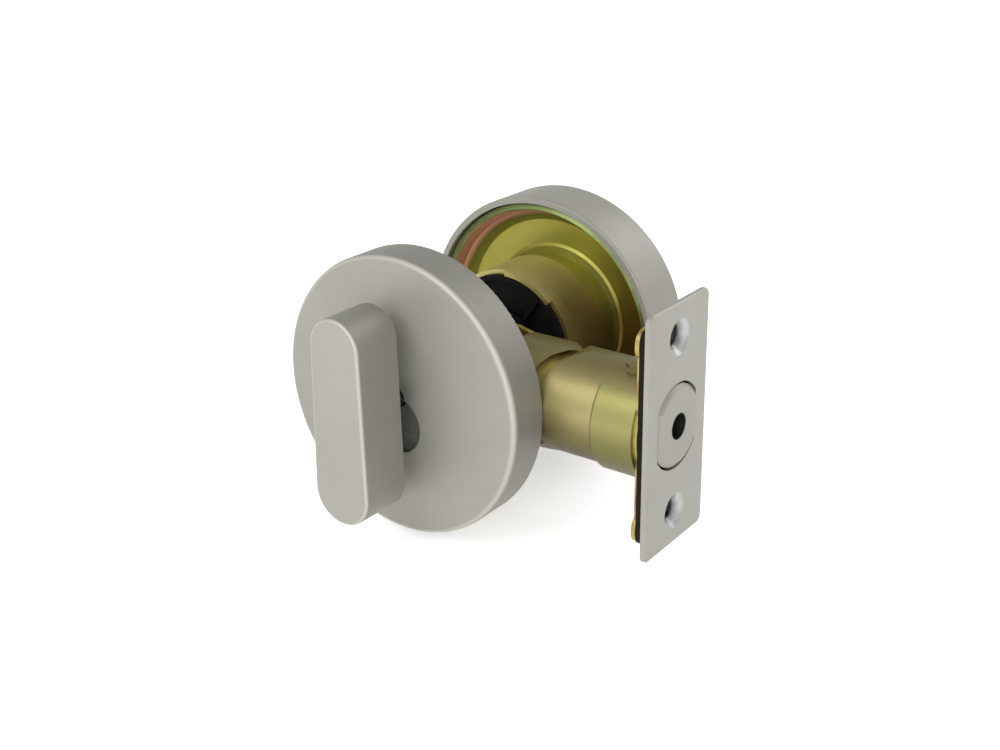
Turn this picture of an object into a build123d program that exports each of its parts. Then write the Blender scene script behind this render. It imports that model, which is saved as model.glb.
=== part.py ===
from build123d import *
import math
import os

# Single-cylinder deadbolt for a bored door, bolt drawn back, thumbturn upright.
# Frame: origin where the spindle axis (Y) crosses the bolt axis (X).
# +X points out of the door edge, +Z is up, -Y is the room side, +Y the street side.

# ---- Driving dimensions (mm) ----
BACKSET = 60.325
BOLT_THROW = 25.4
DOOR_GAP = 46.0

IN_RIM_Y = -12.6
IN_R = 33.75
IN_DEPTH = 10.8
IN_WALL = 2.0
IN_FACE_T = 2.2
IN_FACE_Y = IN_RIM_Y - IN_DEPTH

OUT_RIM_Y = IN_RIM_Y + DOOR_GAP
OUT_R = 34.7
OUT_DEPTH = 15.8
OUT_WALL = 1.7
OUT_FACE_T = 2.0
OUT_FACE_Y = OUT_RIM_Y + OUT_DEPTH

TURN_GAP = 6.4
TURN_DEPTH = 13.2
TURN_W_TOP = 13.9
TURN_W_BOTTOM = 15.5
TURN_TOP_Z = 24.9
TURN_BOTTOM_Z = -24.1
TURN_BACK_Y = IN_FACE_Y - TURN_GAP
TURN_FRONT_Y = TURN_BACK_Y - TURN_DEPTH
SPINDLE_R = 2.3
SPINDLE_GAP = 0.3
CAP_R = 7.0
CAP_Z = -6.7

TUBE_R = 12.45
TUBE_WALL = 1.1
BAND_R = 13.25
SLEEVE_R = 11.3
SLEEVE_BORE_R = 9.62
SLEEVE_X0 = 21.0
RELIEF_X = 48.4

FACE_W = 25.4
FACE_H = 57.15
FACE_T = 1.1
FACE_CORNER_R = 1.9
SPACER_T = 1.6
BACKING_T = 1.0
SPACER_H = 49.6
END_Z = 21.4
END_H = 6.8
SCREW_PITCH = 41.3
SCREW_HOLE_R = 2.4
SINK_R = 4.2
SINK_DEPTH = 1.8
DIMPLE_R = 5.2
DIMPLE_DEPTH = 2.2
FACE_BACK_X = BACKSET - FACE_T
SPACER_BACK_X = FACE_BACK_X - SPACER_T
TUBE_X1 = SPACER_BACK_X - BACKING_T

BOLT_R = 9.525
BOLT_FLAT = 8.0
BOLT_PROUD = 0.5
BOLT_REAR_X = 22.0
PIN_HOLE_R = 3.0
ROLLER_R = 3.4
ROLLER_BORE_R = 3.46

CRANK_R = BOLT_THROW / (2.0 * math.sin(math.radians(45.0)))
CRANK_PIN_R = 2.5
SLOT_HALF_W = 3.25
HUB_R = 5.5
JOURNAL_R = 4.4
CASE_Y = 5.0
CASE_T = 1.2

BLADE_W = 5.6
BLADE_T = 2.0

CLAMP_X = 14.0
CLAMP_R = 2.4

COLLAR_R = 18.9
COLLAR_WALL = 1.1
COLLAR_Y0 = 19.0
COLLAR_Y1 = 35.3
NECK_R = 18.5
NECK_FOOT_R = 19.6
FLOOR_Y = 43.0
DISH_R = 26.6

PLUG_R = 6.35
PLUG_GAP = 0.05
SEAT_GAP = 0.05
CYL_NOSE_R = 14.3
CYL_BODY_R = 17.6
CYL_Y0 = 24.6
PLUG_Y0 = CYL_Y0 + 3.0
CYL_FRONT_Y = OUT_FACE_Y + 0.8
PIN_COUNT = 5
PIN_PITCH = 3.81
PIN_FIRST_Y = PLUG_Y0 + 2.4
PIN_R = 1.45
PIN_BORE_R = 1.5

os.makedirs("parts", exist_ok=True)


def save(name, shape):
    """Write one piece, or one group of equal pieces, as a STEP file."""
    export_step(shape, f"parts/{name}.step")


def cyl_x(radius, x0, x1, y=0.0, z=0.0):
    """Cylinder along X between two X positions."""
    return Pos((x0 + x1) / 2, y, z) * Rot(0, 90, 0) * Cylinder(radius, abs(x1 - x0))


def cyl_y(radius, y0, y1, x=0.0, z=0.0):
    """Cylinder along Y between two Y positions."""
    return Pos(x, (y0 + y1) / 2, z) * Rot(90, 0, 0) * Cylinder(radius, abs(y1 - y0))


def cyl_z(radius, z0, z1, x=0.0, y=0.0):
    """Cylinder along Z between two Z positions."""
    return Pos(x, y, (z0 + z1) / 2) * Cylinder(radius, abs(z1 - z0))


def cone_x(r0, r1, x0, x1, y=0.0, z=0.0):
    """Cone along X, radius r0 at x0 and r1 at x1, with x1 above x0."""
    return Pos((x0 + x1) / 2, y, z) * Rot(0, 90, 0) * Cone(r0, r1, x1 - x0)


def block(x0, x1, y0, y1, z0, z1):
    """Box between opposite corners."""
    centre = Pos((x0 + x1) / 2, (y0 + y1) / 2, (z0 + z1) / 2)
    return centre * Box(x1 - x0, y1 - y0, z1 - z0)


def ring_y(r_out, r_in, y0, y1):
    """Flat ring about the Y axis."""
    return cyl_y(r_out, y0, y1) - cyl_y(r_in, y0 - 1, y1 + 1)


def ring_x(r_out, r_in, x0, x1):
    """Flat ring about the X axis."""
    return cyl_x(r_out, x0, x1) - cyl_x(r_in, x0 - 1, x1 + 1)


def circles_at_y(shape, y, radius):
    """Circular edges of a given radius on the plane at one Y."""
    found = []
    for edge in shape.edges().filter_by(GeomType.CIRCLE):
        on_plane = abs(edge.center().Y - y) < 1e-3
        if on_plane and abs(edge.radius - radius) < 1e-3:
            found.append(edge)
    return found


def edges_at_y(shape, y):
    """Edges that lie wholly on the plane at one Y."""
    found = []
    for edge in shape.edges():
        box = edge.bounding_box()
        if abs(box.min.Y - y) < 1e-3 and abs(box.max.Y - y) < 1e-3:
            found.append(edge)
    return found


def edges_at_x(shape, x):
    """Edges that lie wholly on the plane at one X."""
    found = []
    for edge in shape.edges():
        box = edge.bounding_box()
        if abs(box.min.X - x) < 1e-3 and abs(box.max.X - x) < 1e-3:
            found.append(edge)
    return found


def prism_xz(points, y0, y1):
    """Solid with a polygon outline in XZ, between two Y positions."""
    wire = Polyline([(x, 0, z) for x, z in points], close=True)
    face = make_face(wire)
    return Pos(0, y0, 0) * extrude(face, amount=y1 - y0, dir=(0, 1, 0))


def flatted_bar(radius, flat, x0, x1):
    """Round bar along X with two flats facing Y."""
    sides = block(x0 - 1, x1 + 1, -flat, flat, -radius - 1, radius + 1)
    return cyl_x(radius, x0, x1) & sides


def sector_x(radius, x0, x1, angle0, angle1):
    """Wedge about the X axis, angles from -Y towards +Z in degrees."""
    steps = 12
    points = [(0.0, 0.0)]
    for i in range(steps + 1):
        angle = math.radians(angle0 + (angle1 - angle0) * i / steps)
        points.append((-radius * math.cos(angle), radius * math.sin(angle)))
    wire = Polyline([(x0, y, z) for y, z in points], close=True)
    return extrude(make_face(wire), amount=x1 - x0, dir=(1, 0, 0))


def sector_y(radius, y0, y1, angle0, angle1):
    """Wedge about the Y axis, angles from +X towards +Z in degrees."""
    steps = 8
    points = [(0.0, 0.0)]
    for i in range(steps + 1):
        angle = math.radians(angle0 + (angle1 - angle0) * i / steps)
        points.append((radius * math.cos(angle), radius * math.sin(angle)))
    return prism_xz(points, y0, y1)


# ---- Room side: rosette, D-shaped cap, mounting plate, clamp screws ----
def make_inside_rosette():
    """Round cover, hollow towards the door, rounded front edge."""
    disc = cyl_y(IN_R, IN_FACE_Y, IN_RIM_Y)
    disc = fillet(circles_at_y(disc, IN_FACE_Y, IN_R), 1.5)
    disc = fillet(circles_at_y(disc, IN_RIM_Y, IN_R), 0.4)
    hollow = cyl_y(IN_R - IN_WALL, IN_FACE_Y + IN_FACE_T, IN_RIM_Y + 1)
    hollow = fillet(circles_at_y(hollow, IN_FACE_Y + IN_FACE_T, IN_R - IN_WALL), 1.2)
    holes = cyl_y(CAP_R, IN_FACE_Y - 1, IN_RIM_Y, z=CAP_Z)
    holes += cyl_y(SPINDLE_R + SPINDLE_GAP, IN_FACE_Y - 1, IN_RIM_Y)
    return disc - hollow - holes


def make_rosette_cap():
    """Dark cap that closes the round access hole, notched for the spindle."""
    cap = cyl_y(CAP_R - 0.1, IN_FACE_Y + 0.8, IN_FACE_Y + IN_FACE_T, z=CAP_Z)
    cap += cyl_y(CAP_R + 0.9, IN_FACE_Y + IN_FACE_T, IN_FACE_Y + IN_FACE_T + 0.8, z=CAP_Z)
    return cap - cyl_y(SPINDLE_R + SPINDLE_GAP, IN_FACE_Y - 1, IN_RIM_Y)


def make_inside_plate():
    """Steel plate against the door, centre hole and two clamp screw holes."""
    plate = cyl_y(IN_R - IN_WALL - 0.25, IN_RIM_Y - 2.4, IN_RIM_Y - 0.1)
    plate -= cyl_y(8.2, IN_RIM_Y - 4, IN_RIM_Y + 1)
    for side in (-1, 1):
        plate -= cyl_y(CLAMP_R + 0.3, IN_RIM_Y - 4, IN_RIM_Y + 1, x=side * CLAMP_X)
        plate -= cyl_y(3.4, IN_RIM_Y - 4, IN_RIM_Y + 1, z=side * 22.0)
    return plate


def make_clamp_screws():
    """Two long screws that pull the halves together through the door."""
    screws = []
    for side in (-1, 1):
        head = cyl_y(4.3, IN_RIM_Y - 5.0, IN_RIM_Y - 2.4, x=side * CLAMP_X)
        head = fillet(edges_at_y(head, IN_RIM_Y - 5.0), 0.8)
        slot = block(-5, 5, IN_RIM_Y - 5.5, IN_RIM_Y - 4.0, -0.5, 0.5)
        head -= Pos(side * CLAMP_X, 0, 0) * slot
        head -= Pos(side * CLAMP_X, 0, 0) * Rot(0, 90, 0) * slot
        shank = cyl_y(CLAMP_R, IN_RIM_Y - 2.4, CYL_Y0 + 8.0, x=side * CLAMP_X)
        screws.append(head + shank)
    return Compound(children=screws)


# ---- Thumbturn train ----
def make_thumbturn():
    """Upright bar with round ends, slightly wider at the foot."""
    r_top = TURN_W_TOP / 2
    r_foot = TURN_W_BOTTOM / 2
    top = Pos(0, TURN_TOP_Z - r_top) * Circle(r_top)
    foot = Pos(0, TURN_BOTTOM_Z + r_foot) * Circle(r_foot)
    outline = make_hull([*top.edges(), *foot.edges()])
    bar = Pos(0, TURN_BACK_Y, 0) * Rot(90, 0, 0) * extrude(outline, TURN_DEPTH)
    bar = fillet(edges_at_y(bar, TURN_FRONT_Y), 0.9)
    bar = fillet(edges_at_y(bar, TURN_BACK_Y), 0.5)
    return bar - cyl_y(SPINDLE_R + SEAT_GAP, TURN_BACK_Y - 8.0, TURN_BACK_Y + 1)


def make_spindle():
    """Shaft from the thumbturn to the driver, with a clip groove."""
    shaft = cyl_y(SPINDLE_R, TURN_BACK_Y - 8.0, IN_FACE_Y + 3.6)
    shaft -= ring_y(SPINDLE_R + 1, SPINDLE_R - 0.6, TURN_BACK_Y + 0.2, TURN_BACK_Y + 1.0)
    return shaft


def make_spindle_clip():
    """Open spring ring in the spindle's groove."""
    clip = ring_y(SPINDLE_R + 0.9, SPINDLE_R - 0.6, TURN_BACK_Y + 0.25, TURN_BACK_Y + 0.95)
    return clip - block(-8, 0, TURN_BACK_Y, TURN_BACK_Y + 2, -1.6, 1.6)


def make_driver():
    """Hub behind the rosette that takes the end of the tail blade."""
    hub = cyl_y(6.6, IN_FACE_Y + 3.6, IN_RIM_Y + 0.4)
    hub = chamfer(circles_at_y(hub, IN_RIM_Y + 0.4, 6.6), 0.5)
    blade = block(
        -BLADE_T / 2 - 0.05, BLADE_T / 2 + 0.05,
        IN_FACE_Y + 5.0, IN_RIM_Y + 2,
        -BLADE_W / 2 - 0.05, BLADE_W / 2 + 0.05,
    )
    return hub - blade


# ---- Latch: barrel, sleeve and case ----
TUBE_END = [
    (31.6, -20.0), (31.6, 2.0), (32.1, 6.0), (32.7, 9.0), (33.7, 10.8),
    (35.3, 11.9), (38.2, 12.6), (38.2, 20.0),
]
HUB_END = [
    (27.4, -20.0), (27.4, 3.0), (28.2, 7.5), (29.2, 10.0), (30.9, 11.5),
    (33.2, 12.25), (36.8, 12.6), (36.8, 20.0),
]


def make_latch_tube():
    """Plated barrel behind the faceplate, rear end cut back at the top."""
    tube = ring_x(TUBE_R, TUBE_R - TUBE_WALL, 28.0, TUBE_X1)
    tube -= prism_xz([(-5, -20), *TUBE_END, (-5, 20)], -20, 20)
    tube -= relief_hole()
    return tube - relief_slit()


def relief_hole():
    """Small round hole high on the room side of the barrel."""
    tilt = Rot(-(90 - 64), 0, 0)
    return tilt * cyl_z(1.35, 8.0, 16.0, x=RELIEF_X)


def relief_slit():
    """Narrow slit that runs from the round hole to the faceplate."""
    tilt = Rot(-(90 - 64), 0, 0)
    return tilt * block(RELIEF_X, TUBE_X1 + 1, -0.3, 0.3, 8.0, 16.0)


def make_tube_band():
    """Thicker band round the barrel, open at the top."""
    band = ring_x(BAND_R, TUBE_R, 46.0, TUBE_X1)
    band = fillet(circles_at_x(band, 46.0, BAND_R), 0.6)
    return band - sector_x(20.0, 40.0, 60.0, 48.0, 132.0)


def circles_at_x(shape, x, radius):
    """Circular edges of a given radius on the plane at one X."""
    found = []
    for edge in shape.edges().filter_by(GeomType.CIRCLE):
        on_plane = abs(edge.center().X - x) < 1e-3
        if on_plane and abs(edge.radius - radius) < 1e-3:
            found.append(edge)
    return found


def make_tube_key():
    """Raised tongue on top of the barrel, between the slit and the far side."""
    key = ring_x(BAND_R - 0.1, TUBE_R, 50.2, TUBE_X1)
    key = key & sector_x(20.0, 49.0, 60.0, 67.0, 112.0)
    return key + (cyl_z(3.2, 8, 20, x=50.8) & ring_x(BAND_R - 0.1, TUBE_R, 48.4, 50.3))


def make_inner_sleeve():
    """Sleeve inside the barrel that guides the bolt."""
    sleeve = ring_x(SLEEVE_R, SLEEVE_BORE_R, SLEEVE_X0, TUBE_X1 - 0.2)
    return sleeve - relief_hole()


def make_hub_barrel():
    """Rear length of barrel, its front end cut oblique."""
    barrel = ring_x(TUBE_R, TUBE_R - TUBE_WALL, 20.0, 37.0)
    keep = prism_xz([(10, -20), *HUB_END, (10, 20)], -20, 20)
    barrel = barrel & keep
    wall = ring_x(TUBE_R - TUBE_WALL, SLEEVE_BORE_R, 20.0, SLEEVE_X0)
    return barrel + wall


CASE_OUTLINE = [
    (-23.0, -23.0), (17.6, -23.0), (19.6, -14.0), (19.6, 10.5),
    (14.0, 11.8), (-10.0, 11.8), (-23.0, 2.0),
]


def make_case_plate(side):
    """Flat plate beside the crank, with the hub's bearing hole."""
    y_in = side * CASE_Y
    y_out = side * (CASE_Y + CASE_T)
    plate = prism_xz(CASE_OUTLINE, min(y_in, y_out), max(y_in, y_out))
    tongue = block(19.0, 20.0, min(y_in, y_out), max(y_in, y_out), -9.0, 9.0)
    plate += tongue
    plate -= cyl_y(6.0, -10, 10)
    for hole_side in (-1, 1):
        plate -= cyl_y(CLAMP_R + 0.6, -10, 10, x=hole_side * CLAMP_X)
    for x, z in RIVET_SPOTS:
        plate -= cyl_y(1.3, -10, 10, x=x, z=z)
    return plate


RIVET_SPOTS = [(-20.6, -3.0), (8.0, 9.2), (-8.0, 9.2)]


def make_case_rivets():
    """Spacer rivets that hold the two case plates apart."""
    rivets = []
    for x, z in RIVET_SPOTS:
        rivet = cyl_y(1.3, -CASE_Y - CASE_T, CASE_Y + CASE_T, x=x, z=z)
        rivet += cyl_y(2.0, -CASE_Y, CASE_Y, x=x, z=z)
        for side in (-1, 1):
            outer = side * (CASE_Y + CASE_T)
            rivet += cyl_y(2.1, outer, outer + side * 0.7, x=x, z=z)
        rivets.append(rivet)
    return Compound(children=rivets)


def make_case_skirt():
    """Edge strip that closes the foot of the case."""
    return block(-23.0, 17.0, -CASE_Y, CASE_Y, -24.2, -23.0)


def make_bushings():
    """Two plastic rings between the hub's journals and the case plates."""
    rings = []
    for side in (-1, 1):
        inner = side * (CASE_Y - 0.3)
        outer = side * (CASE_Y + CASE_T + 0.2)
        rings.append(ring_y(6.0, JOURNAL_R + 0.08, min(inner, outer), max(inner, outer)))
    return Compound(children=rings)


# ---- Latch: cam, bolt and tail ----
def make_cam():
    """Hub with a crank arm; the arm leans back while the bolt is drawn in."""
    hub = cyl_y(HUB_R, -4.5, 4.5) + cyl_y(JOURNAL_R, -6.4, 6.4)
    reach = CRANK_R * math.sin(math.radians(45.0))
    arm = Rot(0, 45, 0) * block(-3.6, 3.6, -1.6, 1.6, -CRANK_R, 0)
    arm += cyl_y(3.9, -1.6, 1.6, x=-reach, z=-reach)
    cam = hub + arm
    cam -= cyl_y(CRANK_PIN_R, -5, 5, x=-reach, z=-reach)
    blade = block(
        -BLADE_T / 2 - 0.15, BLADE_T / 2 + 0.15, -10, 10,
        -BLADE_W / 2 - 0.15, BLADE_W / 2 + 0.15,
    )
    return cam - blade


def make_cam_pin():
    """Pin at the end of the crank arm."""
    reach = CRANK_R * math.sin(math.radians(45.0))
    return cyl_y(CRANK_PIN_R, -4.0, 4.0, x=-reach, z=-reach)


TAIL_OUTLINE = [
    (-19.6, -22.2), (-5.8, -22.2), (-5.8, -8.7), (30.0, -8.7), (30.0, 3.0),
    (23.0, 3.0), (20.4, -5.9), (-19.6, -5.9),
]


def make_tail():
    """Two slotted side bars that carry the bolt, astride the crank arm."""
    reach = CRANK_R * math.sin(math.radians(45.0))
    bars = []
    for side in (-1, 1):
        y_in = side * 2.1
        y_out = side * 3.7
        bar = prism_xz(TAIL_OUTLINE, min(y_in, y_out), max(y_in, y_out))
        slot = block(
            -reach - SLOT_HALF_W, -reach + SLOT_HALF_W, -5, 5, -21.0, -9.8,
        )
        bar -= slot
        bar -= cyl_y(1.2, -10, 10, x=26.5, z=-3.0)
        bars.append(bar)
    return Compound(children=bars)


def make_bolt():
    """Solid bolt with two flats, bored for the roller and slotted for the tail."""
    front = BACKSET + BOLT_PROUD
    bolt = flatted_bar(BOLT_R, BOLT_FLAT, BOLT_REAR_X, front)
    bolt = chamfer(edges_at_x(bolt, front), 0.8)
    bolt -= cyl_x(PIN_HOLE_R, 50.0, front + 1)
    bolt -= cyl_x(ROLLER_BORE_R, 31.0, BACKSET - 4.0)
    for side in (-1, 1):
        y_in = side * 2.1
        y_out = side * 3.7
        bolt -= block(BOLT_REAR_X - 1, 30.0, min(y_in, y_out), max(y_in, y_out), -8.7, 3.0)
    return bolt - cyl_y(1.2, -10, 10, x=26.5, z=-3.0)


def make_tail_pin():
    """Cross pin that fixes both tail bars in the bolt."""
    return cyl_y(1.2, -7.6, 7.6, x=26.5, z=-3.0)


def make_roller():
    """Hardened rod, loose in its chamber so that a saw blade spins it."""
    rod = cyl_x(ROLLER_R, 31.2, BACKSET - 4.2)
    return chamfer(circles_at_x(rod, BACKSET - 4.2, ROLLER_R), 0.5)


# ---- Faceplate, spacer and backing plate ----
def plate_outline(width, height, corner):
    """Rounded rectangle face on the YZ plane."""
    return Plane.YZ * RectangleRounded(width, height, corner)


def bolt_window(x0, x1):
    """Opening for the bolt, looser over its round sides than at its flats."""
    return flatted_bar(BOLT_R + 0.55, BOLT_FLAT + 0.16, x0, x1)


def make_faceplate():
    """Thin plate for the door edge, with two screw holes pressed back as dimples."""
    plate = Pos(FACE_BACK_X, 0, 0) * extrude(plate_outline(FACE_W, FACE_H, FACE_CORNER_R), FACE_T)
    plate = chamfer(edges_at_x(plate, BACKSET), 0.25)
    plate -= bolt_window(FACE_BACK_X - 1, BACKSET + 1)
    hole_x0 = BACKSET - DIMPLE_DEPTH
    for side in (-1, 1):
        z = side * SCREW_PITCH / 2
        plate += cone_x(SCREW_HOLE_R + 1.1, DIMPLE_R, hole_x0, FACE_BACK_X + 0.1, z=z)
        plate -= cyl_x(SCREW_HOLE_R, hole_x0 - 1, BACKSET + 1, z=z)
        plate -= cone_x(SCREW_HOLE_R, SINK_R, BACKSET - SINK_DEPTH, BACKSET, z=z)
        plate -= cyl_x(SINK_R, BACKSET - 0.001, BACKSET + 0.5, z=z)
    return plate


def make_spacer():
    """Black plastic layer behind the faceplate, shorter than it."""
    outline = plate_outline(FACE_W - 1.2, SPACER_H, 2.0)
    spacer = Pos(SPACER_BACK_X, 0, 0) * extrude(outline, SPACER_T)
    spacer -= bolt_window(SPACER_BACK_X - 1, FACE_BACK_X + 1)
    for side in (-1, 1):
        spacer -= cyl_x(DIMPLE_R + 0.3, 50, 62, z=side * SCREW_PITCH / 2)
    return spacer


def make_backing():
    """Plated plate with a narrow waist and two wide rounded ends."""
    waist_w = FACE_W - 3.2
    plate = extrude(plate_outline(waist_w, 2 * END_Z, 0.5), BACKING_T)
    plate = Pos(TUBE_X1, 0, 0) * plate
    for side in (-1, 1):
        end = extrude(plate_outline(FACE_W - 0.8, END_H, 3.0), BACKING_T)
        plate += Pos(TUBE_X1, 0, side * END_Z) * end
    plate += cyl_x(TUBE_R, TUBE_X1, TUBE_X1 + BACKING_T)
    plate -= bolt_window(TUBE_X1 - 1, SPACER_BACK_X + 1)
    for side in (-1, 1):
        plate -= cyl_x(3.0, 50, 62, z=side * SCREW_PITCH / 2)
    return plate


# ---- Street side: cup, dish, collar, liner ----
def make_outside_rosette():
    """Deep round cup, open towards the door, bored for the cylinder."""
    cup = cyl_y(OUT_R, OUT_RIM_Y, OUT_FACE_Y)
    cup = fillet(circles_at_y(cup, OUT_FACE_Y, OUT_R), 1.5)
    cup = fillet(circles_at_y(cup, OUT_RIM_Y, OUT_R), 0.5)
    cup -= cyl_y(OUT_R - OUT_WALL, OUT_RIM_Y - 1, OUT_FACE_Y - OUT_FACE_T)
    return cup - cyl_y(CYL_NOSE_R + SEAT_GAP, OUT_RIM_Y, OUT_FACE_Y + 1)


def make_outside_plate():
    """Plated dish: curled rim, sloping wall, flat floor with a drawn neck."""
    rim = OUT_RIM_Y
    neck_in = COLLAR_R - COLLAR_WALL
    profile = [
        (32.6, rim + 1.6), (31.3, rim + 0.9), (30.9, rim + 1.4), (30.0, rim + 5.0),
        (DISH_R + 0.4, rim + 8.2), (NECK_FOOT_R + 0.8, FLOOR_Y - 0.3),
        (NECK_FOOT_R, FLOOR_Y - 0.7), (NECK_R + 0.3, FLOOR_Y - 1.8),
        (NECK_R, FLOOR_Y - 3.2), (NECK_R, COLLAR_Y1), (neck_in, COLLAR_Y1),
        (neck_in, FLOOR_Y + 1.2), (DISH_R + 1.2, rim + 9.4),
        (31.2, rim + 5.4), (32.1, rim + 2.4), (32.6, rim + 2.4),
    ]
    wire = Polyline([(r, y, 0) for r, y in profile], close=True)
    return revolve(make_face(wire), Axis.Y)


def make_outside_collar():
    """Guard collar that stands on the dish's neck, with a notched front rim."""
    tube = ring_y(COLLAR_R, COLLAR_R - COLLAR_WALL, COLLAR_Y0, COLLAR_Y1)
    tube = chamfer(circles_at_y(tube, COLLAR_Y1, COLLAR_R), 0.2)
    for start, end in NOTCH_ANGLES:
        wedge = sector_y(30.0, COLLAR_Y0 - 1, COLLAR_Y0 + 1.5, start, end)
        tube -= wedge
    return tube


NOTCH_ANGLES = [(-15.0, 45.0), (90.0, 150.0), (196.0, 250.0)]


def make_guard():
    """Black plastic liner that fills the collar's mouth round the blade."""
    rim_r = COLLAR_R - COLLAR_WALL - SEAT_GAP
    wall_y = CYL_Y0 - 3.4
    liner = ring_y(rim_r, 4.4, wall_y, wall_y + 1.6)
    liner += ring_y(rim_r, rim_r - 1.4, CYL_Y0 - 5.2, CYL_Y0)
    liner += ring_y(8.2, 6.4, wall_y - 1.2, wall_y + 0.4)
    for angle in (55, 125, 235, 305):
        rib = block(7.4, rim_r - 0.7, wall_y - 1.0, wall_y + 0.4, -0.6, 0.6)
        liner += Rot(0, angle, 0) * rib
    for side in (-1, 1):
        liner -= cyl_y(CLAMP_R + 0.15, 15, CYL_Y0 + 1, x=side * CLAMP_X)
    return liner


# ---- Cylinder: body, plug and pin stack ----
def pin_ys():
    """Y positions of the pin chambers."""
    return [PIN_FIRST_Y + PIN_PITCH * i for i in range(PIN_COUNT)]


KEY_PIN_LENGTHS = [5.1, 4.2, 5.6, 3.8, 4.7]


def make_cylinder_body():
    """Cylinder body inside the cup, its nose flush through the cup's face."""
    body = cyl_y(CYL_BODY_R, CYL_Y0, OUT_FACE_Y - OUT_FACE_T)
    body += cyl_y(CYL_NOSE_R, CYL_Y0, CYL_FRONT_Y)
    body = chamfer(circles_at_y(body, CYL_FRONT_Y, CYL_NOSE_R), 0.6)
    body -= cyl_y(PLUG_R + PLUG_GAP, CYL_Y0 - 1, CYL_FRONT_Y + 1)
    body -= cyl_y(9.2, CYL_Y0 - 1, PLUG_Y0 + 0.9)
    for y in pin_ys():
        body -= cyl_z(PIN_BORE_R, 5.0, 16.0, y=y)
    body -= cover_strip()
    for side in (-1, 1):
        body -= cyl_y(CLAMP_R + SEAT_GAP, CYL_Y0 - 1, CYL_Y0 + 9.0, x=side * CLAMP_X)
    return body


def cover_strip():
    """Strip that caps the pin chambers."""
    return block(-2.2, 2.2, PIN_FIRST_Y - 2.2, OUT_FACE_Y - OUT_FACE_T - 0.3, 15.6, 16.6)


def keyway(y0, y1):
    """Stepped key slot along the plug."""
    slot = block(-1.1, 0.3, y0, y1, -4.9, -1.0)
    slot += block(-0.5, 1.1, y0, y1, -1.6, 1.4)
    slot += block(-1.1, 0.5, y0, y1, 1.0, 4.3)
    return slot


def make_plug():
    """Round plug with a key slot, pin bores and a driving lug at the rear."""
    plug = cyl_y(PLUG_R, PLUG_Y0, CYL_FRONT_Y)
    plug = chamfer(circles_at_y(plug, CYL_FRONT_Y, PLUG_R), 0.4)
    plug -= keyway(PIN_FIRST_Y - 1.8, CYL_FRONT_Y + 1)
    for y, length in zip(pin_ys(), KEY_PIN_LENGTHS):
        plug -= cyl_z(PIN_BORE_R, PLUG_R - length - 0.3, PLUG_R + 1, y=y)
    plug += plug_lug(70, 110)
    return plug


def plug_lug(start, end):
    """Sector lug that stands off the rear of the plug."""
    lug = ring_y(6.0, 3.7, PLUG_Y0 - 1.6, PLUG_Y0)
    return lug & sector_y(20, PLUG_Y0 - 3, PLUG_Y0 + 1, start, end)


def make_plug_ring():
    """Retaining ring pressed on the rear of the plug."""
    return ring_y(8.6, PLUG_R, PLUG_Y0, PLUG_Y0 + 0.75)


def make_key_pins():
    """Lower pins, lifted level with the top of the plug as by the right key."""
    pins = []
    for y, length in zip(pin_ys(), KEY_PIN_LENGTHS):
        pin = cyl_z(PIN_R, PLUG_R - length, PLUG_R - 0.25, y=y)
        pins.append(pin)
    return Compound(children=pins)


def make_driver_pins():
    """Upper pins, resting just above the plug."""
    return Compound(children=[cyl_z(PIN_R, 6.5, 10.4, y=y) for y in pin_ys()])


def make_pin_springs():
    """Small springs over the upper pins, as plain sleeves."""
    springs = []
    for y in pin_ys():
        sleeve = cyl_z(1.3, 10.4, 15.6, y=y) - cyl_z(0.9, 10.0, 16.0, y=y)
        springs.append(sleeve)
    return Compound(children=springs)


def make_tail_blade():
    """Flat bar from the cylinder through the latch hub to the thumbturn."""
    half_t = BLADE_T / 2
    half_w = BLADE_W / 2
    return block(-half_t, half_t, IN_FACE_Y + 5.2, CYL_Y0 + 1.2, -half_w, half_w)


def make_blade_head():
    """Disc on the end of the blade with the lug that the plug pushes."""
    rear = CYL_Y0 - 1.0
    front = CYL_Y0 + 1.2
    head = cyl_y(3.3, rear, front)
    wedge = sector_y(20, rear - 1, front + 2, 205, 245)
    lug = ring_y(6.0, 3.0, rear, front) & wedge
    lug += ring_y(6.0, 3.7, front, front + 1.4) & wedge
    head += lug
    half_t = BLADE_T / 2
    half_w = BLADE_W / 2
    return head - block(-half_t, half_t, 20, 30, -half_w, half_w)


save("inside_rosette", make_inside_rosette())
save("rosette_cap", make_rosette_cap())
save("inside_mounting_plate", make_inside_plate())
save("clamp_screws", make_clamp_screws())
save("thumbturn", make_thumbturn())
save("thumb_spindle", make_spindle())
save("spindle_clip", make_spindle_clip())
save("thumb_driver", make_driver())
save("latch_tube", make_latch_tube())
save("tube_band", make_tube_band())
save("tube_key", make_tube_key())
save("inner_sleeve", make_inner_sleeve())
save("hub_barrel", make_hub_barrel())
save("case_plate_inside", make_case_plate(-1))
save("case_plate_outside", make_case_plate(1))
save("case_skirt", make_case_skirt())
save("case_rivets", make_case_rivets())
save("cam_bushings", make_bushings())
save("latch_cam", make_cam())
save("cam_pin", make_cam_pin())
save("bolt", make_bolt())
save("bolt_tail", make_tail())
save("tail_pin", make_tail_pin())
save("bolt_roller", make_roller())
save("faceplate", make_faceplate())
save("faceplate_spacer", make_spacer())
save("backing_plate", make_backing())
save("outside_rosette", make_outside_rosette())
save("outside_mounting_plate", make_outside_plate())
save("outside_collar", make_outside_collar())
save("cylinder_guard", make_guard())
save("cylinder_body", make_cylinder_body())
save("pin_cover", cover_strip())
save("driver_pins", make_driver_pins())
save("pin_springs", make_pin_springs())
save("plug", make_plug())
save("plug_ring", make_plug_ring())
save("key_pins", make_key_pins())
save("tail_blade", make_tail_blade())
save("blade_head", make_blade_head())
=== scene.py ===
import math

import bpy
from mathutils import Matrix, Vector


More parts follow.
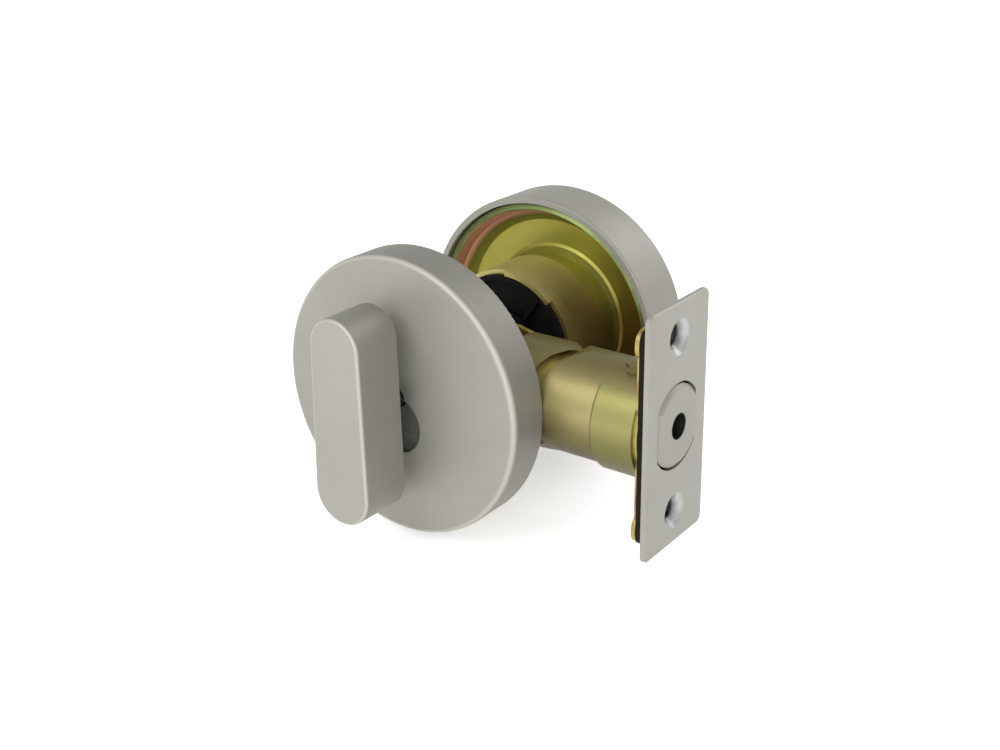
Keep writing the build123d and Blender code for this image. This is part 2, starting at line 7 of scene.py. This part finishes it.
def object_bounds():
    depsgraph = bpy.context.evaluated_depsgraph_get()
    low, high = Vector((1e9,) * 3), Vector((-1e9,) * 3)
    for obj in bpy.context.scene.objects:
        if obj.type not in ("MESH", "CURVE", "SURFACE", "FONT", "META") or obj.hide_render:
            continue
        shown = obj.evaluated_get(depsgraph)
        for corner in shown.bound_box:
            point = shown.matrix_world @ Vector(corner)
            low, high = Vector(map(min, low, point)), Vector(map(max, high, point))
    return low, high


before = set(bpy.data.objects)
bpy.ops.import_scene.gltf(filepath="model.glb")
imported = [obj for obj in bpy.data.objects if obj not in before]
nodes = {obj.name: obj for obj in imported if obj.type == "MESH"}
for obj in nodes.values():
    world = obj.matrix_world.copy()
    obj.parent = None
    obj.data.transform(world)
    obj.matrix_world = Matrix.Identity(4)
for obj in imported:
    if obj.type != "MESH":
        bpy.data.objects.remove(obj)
cad_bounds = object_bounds()

# ---- Camera: metres, degrees, pixels of a 1000 x 750 frame, sensor in millimetres ----
CAMERA_AT = Vector((0.18778, -0.23372, 0.12158))
CAMERA_AZIMUTH = 36.82
CAMERA_ELEVATION = 19.29
CAMERA_ROLL = -0.77
FOCAL_PIXELS = 1329.9
AXIS_PIXEL = (499.5, 300.0)
MIDDLE_PIXEL = (499.5, 374.5)
FRAME_WIDTH = 1000.0
SENSOR_WIDTH = 36.0
CLIP_NEAR = 0.01
CLIP_FAR = 50.0

# ---- Places on the lock that the finishes follow (metres) ----
SCREW_PITCH = 0.0413
SINK_RADIUS = 0.0042
HOLE_BACK_X = 0.0581
HOLE_FRONT_X = 0.0603
BACKING_HOLE_RADIUS = 0.00305
BOLT_HOLE_RADIUS = 0.00305
HOLE_BLEND = 0.00005
SINK_BLEND = 0.0001
PLUG_FACE_Y = 0.0500
PLUG_SKIN_START = 0.0006
PLUG_SKIN_FULL = 0.0004
BARREL_RADIUS = 0.01245
COLLAR_RADIUS = 0.0189
DISH_RADIUS = 0.036


# ---- Small helpers for node trees ----
# In the settings below a noise is (scale, detail) and a bump is (metres, strength).
NOISE_RANGE = (0.3, 0.7)
LINE_DETAIL = 3.0
LINE_ROUGHNESS = 0.6
MIX_COLOUR_INPUTS = (6, 7)
MIX_COLOUR_OUTPUT = 2


class Tree:
    """A material's node tree with short calls for the nodes used here."""

    def __init__(self, name):
        self.material = bpy.data.materials.new(name)
        self.material.use_nodes = True
        self.tree = self.material.node_tree
        self.tree.nodes.clear()
        self.shader = self.tree.nodes.new("ShaderNodeBsdfPrincipled")
        output = self.tree.nodes.new("ShaderNodeOutputMaterial")
        self.tree.links.new(self.shader.outputs[0], output.inputs["Surface"])
        coords = self.tree.nodes.new("ShaderNodeTexCoord")
        self.place = coords.outputs["Object"]
        self.normal = coords.outputs["Normal"]

    def feed(self, socket, value):
        """Links an output to a socket, or sets a constant on it."""
        if isinstance(value, bpy.types.NodeSocket):
            self.tree.links.new(value, socket)
        else:
            socket.default_value = value

    def math(self, operation, *values):
        node = self.tree.nodes.new("ShaderNodeMath")
        node.operation = operation
        for socket, value in zip(node.inputs, values):
            self.feed(socket, value)
        return node.outputs[0]

    def scaled(self, vector, factors):
        node = self.tree.nodes.new("ShaderNodeVectorMath")
        node.operation = "MULTIPLY"
        self.feed(node.inputs[0], vector)
        node.inputs[1].default_value = factors
        return node.outputs[0]

    def split(self, vector):
        node = self.tree.nodes.new("ShaderNodeSeparateXYZ")
        self.feed(node.inputs[0], vector)
        return node.outputs

    def length(self, first, second):
        """Length of a vector with these two parts."""
        return self.math("SQRT", self.math("ADD", self.math("MULTIPLY", first, first),
                                           self.math("MULTIPLY", second, second)))

    def noise(self, vector, scale, detail, roughness=0.5):
        node = self.tree.nodes.new("ShaderNodeTexNoise")
        self.feed(node.inputs["Vector"], vector)
        node.inputs["Scale"].default_value = scale
        node.inputs["Detail"].default_value = detail
        node.inputs["Roughness"].default_value = roughness
        return node.outputs["Fac"]

    def spread(self, value, low, high, to_low=0.0, to_high=1.0):
        """Linear map, held at its ends."""
        node = self.tree.nodes.new("ShaderNodeMapRange")
        self.feed(node.inputs["Value"], value)
        node.inputs["From Min"].default_value = low
        node.inputs["From Max"].default_value = high
        node.inputs["To Min"].default_value = to_low
        node.inputs["To Max"].default_value = to_high
        return node.outputs[0]

    def inside(self, distance, radius, blend):
        """One inside the radius, zero outside, blended across its edge."""
        return self.spread(distance, radius - blend, radius + blend, 1.0, 0.0)

    def mottle(self, scale, detail, to_low=0.0, to_high=1.0):
        """Noise over the piece, mapped from its usual range."""
        return self.spread(self.noise(self.place, scale, detail), *NOISE_RANGE, to_low, to_high)

    def brushing(self, grain):
        """Noise drawn out into lines by its scale along each axis."""
        return self.noise(self.scaled(self.place, grain), 1.0, LINE_DETAIL, LINE_ROUGHNESS)

    def ramp(self, value, stops):
        """Colour ramp from (position, colour) pairs."""
        node = self.tree.nodes.new("ShaderNodeValToRGB")
        self.feed(node.inputs[0], value)
        elements = node.color_ramp.elements
        while len(elements) < len(stops):
            elements.new(0.5)
        for element, (position, colour) in zip(elements, stops):
            element.position = position
            element.color = (*colour, 1.0)
        return node.outputs[0]

    def mix(self, factor, first, second):
        """Colour mix of two outputs or plain colours."""
        node = self.tree.nodes.new("ShaderNodeMix")
        node.data_type = "RGBA"
        self.feed(node.inputs[0], factor)
        for index, value in zip(MIX_COLOUR_INPUTS, (first, second)):
            if not isinstance(value, bpy.types.NodeSocket):
                value = (*value, 1.0)
            self.feed(node.inputs[index], value)
        return node.outputs[MIX_COLOUR_OUTPUT]

    def bump(self, height, distance, strength):
        node = self.tree.nodes.new("ShaderNodeBump")
        self.feed(node.inputs["Height"], height)
        node.inputs["Distance"].default_value = distance
        node.inputs["Strength"].default_value = strength
        self.tree.links.new(node.outputs[0], self.shader.inputs["Normal"])


def finish_metal(t, colour, roughness, metallic=1.0):
    t.feed(t.shader.inputs["Base Color"], colour)
    t.feed(t.shader.inputs["Roughness"], roughness)
    t.shader.inputs["Metallic"].default_value = metallic
    return t.material


# ---- Satin nickel ----
NICKEL_DARK = (0.268, 0.262, 0.229)
NICKEL_LIGHT = (0.284, 0.278, 0.243)
NICKEL_CLOUD = (55.0, 2.0)
NICKEL_CLOUD_RANGE = (0.35, 0.65)
NICKEL_METALLIC = 0.30
NICKEL_BUMP = (0.000012, 0.35)
NICKEL_SMUDGE = (120.0, 4.0)
NICKEL_ROUGHNESS = (0.46, 0.54)
NICKEL_LINES = (-0.03, 0.03)
NICKEL_GRAIN_DISC = (2600.0, 2600.0, 2600.0)
NICKEL_GRAIN_UPRIGHT = (3200.0, 3200.0, 260.0)
# Painted shade on the sides and a painted highlight on the edge fillets of the rosette and
# thumbturn
SIDE_SHADE = 0.78
SIDE_TO_FACE = (0.10, 0.45)
EDGE_HIGHLIGHT = 1.35
EDGE_FROM_SIDE = (0.40, 0.62)
EDGE_FROM_FACE = (0.985, 0.88)
BORE_SHADOW = (0.012, 0.012, 0.011)
SINK_SCUFFS = (350.0, 2.0, -0.12, 0.12)
SINK_POLISH = 0.18
PLATE_ROUGHNESS = (0.42, 0.50)


def nickel_colour(t, low=NICKEL_DARK, high=NICKEL_LIGHT):
    """Nickel in broad, faint clouds."""
    return t.mix(t.spread(t.noise(t.place, *NICKEL_CLOUD), *NICKEL_CLOUD_RANGE), low, high)


def satin_nickel(name, grain, shade=1.0, side_shade=1.0, dark_bore=False):
    """Fine satin plate; grain stretches the brushing; side_shade paints shade on the sides and a
    highlight on the fillets between sides and faces, and dark_bore paints shadow in the bolt's
    bore.
    """
    t = Tree(name)
    lines = t.brushing(grain)
    low = tuple(shade * part for part in NICKEL_DARK)
    high = tuple(shade * part for part in NICKEL_LIGHT)
    colour = nickel_colour(t, low, high)
    # Painted shade on the sides, painted highlight on the fillets between sides and faces
    if side_shade < 1.0:
        facing = t.math("ABSOLUTE", t.split(t.normal)[1])
        side = tuple(side_shade * part for part in low)
        edge = tuple(EDGE_HIGHLIGHT * part for part in high)
        colour = t.mix(t.spread(facing, *SIDE_TO_FACE), side, colour)
        painted_edge_highlight = t.math("MULTIPLY", t.spread(facing, *EDGE_FROM_SIDE),
                        t.spread(facing, *EDGE_FROM_FACE))
        colour = t.mix(painted_edge_highlight, colour, edge)
    if dark_bore:
        _, y, z = t.split(t.place)[:3]
        in_bore = t.inside(t.length(y, z), BOLT_HOLE_RADIUS, HOLE_BLEND)
        colour = t.mix(in_bore, colour, BORE_SHADOW)
    rough = t.math("ADD", t.mottle(*NICKEL_SMUDGE, *NICKEL_ROUGHNESS),
                   t.spread(lines, *NOISE_RANGE, *NICKEL_LINES))
    t.bump(lines, *NICKEL_BUMP)
    return finish_metal(t, colour, rough, NICKEL_METALLIC)


def screw_distance(t):
    """Distance from the axis of the nearer screw hole in the door edge."""
    _, y, z = t.split(t.place)[:3]
    return t.length(y, t.math("SUBTRACT", t.math("ABSOLUTE", z), SCREW_PITCH / 2))


def edge_plate_nickel():
    """Faceplate nickel, with bare metal walls in the two countersinks, painted dark towards the
    back of each hole as shade.
    """
    t = Tree("nickel_edge_plate")
    in_hole = t.inside(screw_distance(t), SINK_RADIUS, SINK_BLEND)
    # Painted shade: the countersink walls darken towards the back of each hole
    depth = t.spread(t.split(t.place)[0], HOLE_BACK_X, HOLE_FRONT_X)
    scuffed = t.math("ADD", depth, t.mottle(*SINK_SCUFFS))
    walls = t.ramp(scuffed, [
        (0.0, (0.05, 0.05, 0.05)),
        (0.3, (0.22, 0.225, 0.22)),
        (0.7, (0.42, 0.43, 0.42)),
        (1.0, (0.34, 0.35, 0.34)),
    ])
    colour = t.mix(in_hole, nickel_colour(t), walls)
    lines = t.brushing(NICKEL_GRAIN_UPRIGHT)
    rough = t.math("SUBTRACT", t.spread(lines, *NOISE_RANGE, *PLATE_ROUGHNESS),
                   t.math("MULTIPLY", in_hole, SINK_POLISH))
    t.bump(lines, *NICKEL_BUMP)
    return finish_metal(t, colour, rough, NICKEL_METALLIC)


# ---- Chromate finishes ----
CHROMATE_PITS = (2600.0, 2.0)
CHROMATE_BUMP = (0.000015, 0.3)
CHROMATE_DETAIL = 3.0
TUBE_CLOUD = (70.0, 3.0)
TUBE_CLOUD_SHARE = 0.06
TUBE_GRAIN = (60.0, 900.0, 900.0)
TUBE_STREAK_SHARE = 0.04
# Lit and shaded tones of the chromate tubes, for painted light and shade by height
TAN_LIT = (0.365, 0.315, 0.135)
TAN_SHADED = (0.042, 0.032, 0.002)
GREEN_LIT = (0.290, 0.268, 0.098)
GREEN_SHADED = (0.085, 0.080, 0.016)
HOLE_SHADOW = (0.02, 0.02, 0.018)


def finish_chromate(t, colour, metallic=0.8, roughness=(0.36, 0.46), scale=400.0):
    """Mottled sheen and fine pits under a chromate colour."""
    t.bump(t.noise(t.place, *CHROMATE_PITS), *CHROMATE_BUMP)
    return finish_metal(t, colour, t.mottle(scale, CHROMATE_DETAIL, *roughness), metallic)


def tube_chromate(name, lit_tone, shaded_tone):
    """Dip over zinc on a tube along X in streaks and clouds, with painted shade darkening its
    underside and a painted highlight band above its middle.
    """
    t = Tree(name)
    cloud = t.noise(t.place, *TUBE_CLOUD)
    streak = t.noise(t.scaled(t.place, TUBE_GRAIN), 1.0, 2.0)
    both = t.math("ADD", t.math("MULTIPLY", cloud, TUBE_CLOUD_SHARE),
                  t.math("MULTIPLY", streak, TUBE_STREAK_SHARE))
    # Painted shade and light: darker on the underside, a painted highlight band above the middle
    height = t.math("DIVIDE", t.split(t.place)[2], BARREL_RADIUS)
    share = t.spread(t.math("ADD", height, both), -1.0, 1.0)
    middle = tuple(0.5 * (a + b) for a, b in zip(lit_tone, shaded_tone))
    colour = t.ramp(share, [
        (0.1, shaded_tone),
        (0.45, middle),
        (0.62, lit_tone),
        (0.85, lit_tone),
        (1.0, middle),
    ])
    return finish_chromate(t, colour)


def collar_chromate():
    """Brown-tan dip on the guard collar, with painted shade making it darker and browner towards
    its lower right.
    """
    t = Tree("brown_collar")
    x, _, z = t.split(t.place)[:3]
    # Painted shade: darker towards the lower right, lighter towards the upper left
    lean = t.math("DIVIDE", t.math("SUBTRACT", z, x), 2.0 * COLLAR_RADIUS)
    share = t.math("ADD", t.spread(lean, -0.7, 0.5), t.mottle(90.0, 3.0, -0.06, 0.06))
    colour = t.ramp(share, [
        (0.0, (0.085, 0.050, 0.012)),
        (0.45, (0.21, 0.155, 0.045)),
        (1.0, (0.60, 0.54, 0.20)),
    ])
    return finish_chromate(t, colour, metallic=0.7)


def yellow_chromate(name, dark_holes=False):
    """Strong yellow dip with small brown and green patches."""
    t = Tree(name)
    colour = t.ramp(t.noise(t.place, 160.0, 4.0), [
        (0.30, (0.22, 0.13, 0.04)),
        (0.48, (0.36, 0.29, 0.08)),
        (0.62, (0.40, 0.36, 0.12)),
        (0.78, (0.26, 0.29, 0.10)),
    ])
    if dark_holes:
        in_hole = t.inside(screw_distance(t), BACKING_HOLE_RADIUS, HOLE_BLEND)
        colour = t.mix(in_hole, colour, HOLE_SHADOW)
    return finish_chromate(t, colour, roughness=(0.34, 0.46), scale=500.0)


def dish_chromate():
    """Yellow dish with green and rose bands at its curled rim; a darker, browner copy of the bands
    is mixed in towards the lower right and on the rim's right side as painted shade.
    """
    t = Tree("dish_chromate")
    x, _, z = t.split(t.place)[:3]
    drift = t.mottle(35.0, 2.0, -0.0003, 0.0003)
    share = t.math("DIVIDE", t.math("ADD", t.length(x, z), drift), DISH_RADIUS)
    bright = t.ramp(share, [
        (0.50, (0.34, 0.36, 0.08)),
        (0.56, (0.30, 0.28, 0.055)),
        (0.74, (0.31, 0.285, 0.050)),
        (0.800, (0.17, 0.18, 0.030)),
        (0.825, (0.70, 0.32, 0.28)),
        (0.855, (0.85, 0.44, 0.42)),
        (0.866, (0.20, 0.25, 0.09)),
        (0.91, (0.30, 0.38, 0.15)),
    ])
    shaded_bands = t.ramp(share, [
        (0.50, (0.12, 0.10, 0.02)),
        (0.56, (0.10, 0.055, 0.006)),
        (0.78, (0.10, 0.050, 0.004)),
        (0.825, (0.13, 0.09, 0.02)),
        (0.866, (0.08, 0.09, 0.03)),
        (0.91, (0.10, 0.12, 0.045)),
    ])
    # Painted shade: the shaded copy of the bands takes over towards the lower right and on the
    # rim's right side
    lean = t.math("DIVIDE", t.math("SUBTRACT", x, z), DISH_RADIUS)
    in_rim = t.math("MULTIPLY", t.spread(share, 0.79, 0.83), t.spread(lean, -1.2, 0.1))
    shade_share = t.math("MAXIMUM", t.spread(lean, -0.4, 0.7), in_rim)
    return finish_chromate(t, t.mix(shade_share, bright, shaded_bands), 0.75, roughness=(0.34, 0.44))


# ---- Plastics, steel and brass ----
PLASTIC_SPECULAR = 0.12
PLASTIC_BUMP = (0.00003, 0.4)
PLASTIC_SHEEN = (300.0, 3.0, 0.42, 0.58)
METAL_BUMP = (0.00001, 0.4)
METAL_CLOUD = (90.0, 3.0)
BRIGHT_ROUGHNESS = (0.22, 0.34)
PLUG_ROUGHNESS = (0.34, 0.44)
BRASS_DARK = (0.62, 0.48, 0.24)
BRASS_LIGHT = (0.72, 0.60, 0.34)
STEEL_GRAIN = (900.0, 900.0, 900.0)
TURNED_GRAIN = (1400.0, 200.0, 1400.0)
PLUG_FACE_METALLIC = 0.4


def plastic(name, low, high, scale):
    t = Tree(name)
    grain = t.noise(t.place, scale, 4.0)
    colour = t.mix(t.spread(grain, *NOISE_RANGE), low, high)
    t.shader.inputs["Specular IOR Level"].default_value = PLASTIC_SPECULAR
    t.bump(grain, *PLASTIC_BUMP)
    return finish_metal(t, colour, t.mottle(*PLASTIC_SHEEN), metallic=0.0)


def bright_metal(name, low, high, grain=STEEL_GRAIN):
    t = Tree(name)
    colour = t.mix(t.mottle(*METAL_CLOUD), low, high)
    lines = t.brushing(grain)
    t.bump(lines, *METAL_BUMP)
    return finish_metal(t, colour, t.spread(lines, *NOISE_RANGE, *BRIGHT_ROUGHNESS))


def plug_metal():
    """Turned brass plug whose front face carries the same nickel as the cup."""
    t = Tree("plug_metal")
    cloud = t.mottle(*METAL_CLOUD)
    brass = t.mix(cloud, BRASS_DARK, BRASS_LIGHT)
    nickel = t.mix(cloud, NICKEL_DARK, NICKEL_LIGHT)
    on_face = t.spread(t.split(t.place)[1], PLUG_FACE_Y - PLUG_SKIN_START,
                       PLUG_FACE_Y - PLUG_SKIN_FULL)
    lines = t.brushing(TURNED_GRAIN)
    t.bump(lines, *METAL_BUMP)
    t.feed(t.shader.inputs["Metallic"], t.spread(on_face, 0.0, 1.0, 1.0, PLUG_FACE_METALLIC))
    t.feed(t.shader.inputs["Base Color"], t.mix(on_face, brass, nickel))
    t.feed(t.shader.inputs["Roughness"], t.spread(lines, *NOISE_RANGE, *PLUG_ROUGHNESS))
    return t.material


materials = {
    "nickel_disc": satin_nickel("nickel_disc", NICKEL_GRAIN_DISC, 0.95, side_shade=SIDE_SHADE),
    "nickel_cup": satin_nickel("nickel_cup", NICKEL_GRAIN_DISC, 0.97),
    "nickel_bar": satin_nickel("nickel_bar", NICKEL_GRAIN_UPRIGHT, side_shade=SIDE_SHADE),
    "nickel_bolt": satin_nickel("nickel_bolt", NICKEL_GRAIN_UPRIGHT, 0.95, dark_bore=True),
    "nickel_edge_plate": edge_plate_nickel(),
    "tan_tube": tube_chromate("tan_tube", TAN_LIT, TAN_SHADED),
    "green_band": tube_chromate("green_band", GREEN_LIT, GREEN_SHADED),
    "brown_collar": collar_chromate(),
    "yellow_plate": yellow_chromate("yellow_plate"),
    "yellow_backing": yellow_chromate("yellow_backing", dark_holes=True),
    "dish": dish_chromate(),
    "black_plastic": plastic("black_plastic", (0.002, 0.002, 0.002), (0.006, 0.006, 0.005), 900.0),
    "dark_cap": plastic("dark_cap", (0.072, 0.072, 0.058), (0.095, 0.095, 0.078), 700.0),
    "steel": bright_metal("steel", (0.40, 0.40, 0.40), (0.50, 0.50, 0.49)),
    "spindle_steel": bright_metal("spindle_steel", (0.15, 0.15, 0.14), (0.21, 0.21, 0.20)),
    "dark_steel": bright_metal("dark_steel", (0.012, 0.012, 0.012), (0.022, 0.022, 0.020)),
    "plug_metal": plug_metal(),
    "brass": bright_metal("brass", BRASS_DARK, BRASS_LIGHT, TURNED_GRAIN),
}

FINISHES = {
    "nickel_disc": ["inside_rosette"],
    "nickel_cup": ["outside_rosette", "cylinder_body"],
    "nickel_bar": ["thumbturn"],
    "nickel_bolt": ["bolt"],
    "nickel_edge_plate": ["faceplate"],
    "tan_tube": ["latch_tube", "tube_key", "hub_barrel"],
    "brown_collar": ["outside_collar"],
    "green_band": ["tube_band"],
    "yellow_plate": ["inner_sleeve", "bolt_tail", "case_plate_inside", "case_plate_outside",
                     "case_skirt"],
    "yellow_backing": ["backing_plate"],
    "dish": ["outside_mounting_plate"],
    "black_plastic": ["faceplate_spacer", "cylinder_guard", "cam_bushings"],
    "dark_cap": ["rosette_cap"],
    "steel": ["inside_mounting_plate", "clamp_screws", "thumb_driver", "case_rivets",
              "latch_cam", "cam_pin", "tail_pin", "pin_springs", "plug_ring", "tail_blade",
              "blade_head"],
    "spindle_steel": ["thumb_spindle", "spindle_clip"],
    "dark_steel": ["bolt_roller"],
    "plug_metal": ["plug"],
    "brass": ["key_pins", "driver_pins", "pin_cover"],
}
for finish, names in FINISHES.items():
    for name in names:
        slots = nodes[name].data.materials
        for index in range(len(slots)):
            slots[index] = materials[finish]

# ---- Floor, light and world ----
FLOOR_DROP = 0.0002
FLOOR_HALF = 6.0
FLOOR_DARK = (0.90, 0.90, 0.90)
FLOOR_LIGHT = (0.93, 0.93, 0.93)
FLOOR_CLOUD = (3.0, 2.0)
FLOOR_ROUGHNESS = 0.9
FLOOR_GLOW = 0.45
WHITE = (1.0, 1.0, 1.0, 1.0)
HORIZON_STRENGTH = 1.0
SKY_STRENGTH = 0.60
SKY_FADE_START = 0.25
SKY_FADE_END = 0.55
LIGHT_AIM = Vector((0.0, 0.0, 0.0))
SOFTBOXES = {
    "key": {"place": (-0.15, -0.90, 0.80), "side": 0.6, "power": 6.0},
    "fill": {"place": (0.55, -1.1, 0.35), "side": 0.6, "power": 6.0},
    "back": {"place": (0.42, 0.95, 0.72), "side": 0.7, "power": 4.5},
}
lowest = cad_bounds[0].z - FLOOR_DROP

floor_mesh = bpy.data.meshes.new("floor")
corners = [(-FLOOR_HALF, -FLOOR_HALF, lowest), (FLOOR_HALF, -FLOOR_HALF, lowest),
           (FLOOR_HALF, FLOOR_HALF, lowest), (-FLOOR_HALF, FLOOR_HALF, lowest)]
floor_mesh.from_pydata(corners, [], [(0, 1, 2, 3)])
floor = bpy.data.objects.new("floor", floor_mesh)
bpy.context.scene.collection.objects.link(floor)
t = Tree("floor_paint")
t.feed(t.shader.inputs["Base Color"], t.mix(t.mottle(*FLOOR_CLOUD), FLOOR_DARK, FLOOR_LIGHT))
t.shader.inputs["Roughness"].default_value = FLOOR_ROUGHNESS
t.shader.inputs["Emission Color"].default_value = WHITE
t.shader.inputs["Emission Strength"].default_value = FLOOR_GLOW
floor_mesh.materials.append(t.material)

scene = bpy.context.scene
scene.view_settings.view_transform = "Standard"
world = bpy.data.worlds.new("studio")
world.use_nodes = True
sky = world.node_tree.nodes
sky["Background"].inputs["Color"].default_value = WHITE
direction = sky.new("ShaderNodeTexCoord")
parts = sky.new("ShaderNodeSeparateXYZ")
fade = sky.new("ShaderNodeMapRange")
fade.inputs["From Min"].default_value = SKY_FADE_START
fade.inputs["From Max"].default_value = SKY_FADE_END
fade.inputs["To Min"].default_value = HORIZON_STRENGTH
fade.inputs["To Max"].default_value = SKY_STRENGTH
world.node_tree.links.new(direction.outputs["Generated"], parts.inputs[0])
world.node_tree.links.new(parts.outputs["Z"], fade.inputs["Value"])
world.node_tree.links.new(fade.outputs[0], sky["Background"].inputs["Strength"])
scene.world = world


def softbox(name, place, side, power):
    """Square area light at a place, turned towards the lock."""
    data = bpy.data.lights.new(name, "AREA")
    data.shape = "RECTANGLE"
    data.size = side
    data.size_y = side
    data.energy = power
    lamp = bpy.data.objects.new(name, data)
    scene.collection.objects.link(lamp)
    lamp.location = place
    lamp.rotation_euler = (LIGHT_AIM - Vector(place)).to_track_quat("-Z", "Y").to_euler()


for name, settings in SOFTBOXES.items():
    softbox(name, **settings)

# ---- Camera ----
azimuth = math.radians(CAMERA_AZIMUTH)
elevation = math.radians(CAMERA_ELEVATION)
roll = math.radians(CAMERA_ROLL)
back = Vector((math.sin(azimuth) * math.cos(elevation),
               -math.cos(azimuth) * math.cos(elevation), math.sin(elevation)))
level = Vector((math.cos(azimuth), math.sin(azimuth), 0.0))
rise = back.cross(level)
right = level * math.cos(roll) + rise * math.sin(roll)
up = rise * math.cos(roll) - level * math.sin(roll)
camera_data = bpy.data.cameras.new("camera")
camera_data.sensor_width = SENSOR_WIDTH
camera_data.lens = FOCAL_PIXELS * SENSOR_WIDTH / FRAME_WIDTH
camera_data.shift_x = (MIDDLE_PIXEL[0] - AXIS_PIXEL[0]) / FRAME_WIDTH
camera_data.shift_y = (AXIS_PIXEL[1] - MIDDLE_PIXEL[1]) / FRAME_WIDTH
camera_data.clip_start = CLIP_NEAR
camera_data.clip_end = CLIP_FAR
camera = bpy.data.objects.new("camera", camera_data)
scene.collection.objects.link(camera)
camera.matrix_world = Matrix((
    (right.x, up.x, back.x, CAMERA_AT.x),
    (right.y, up.y, back.y, CAMERA_AT.y),
    (right.z, up.z, back.z, CAMERA_AT.z),
    (0.0, 0.0, 0.0, 1.0),
))
scene.camera = camera
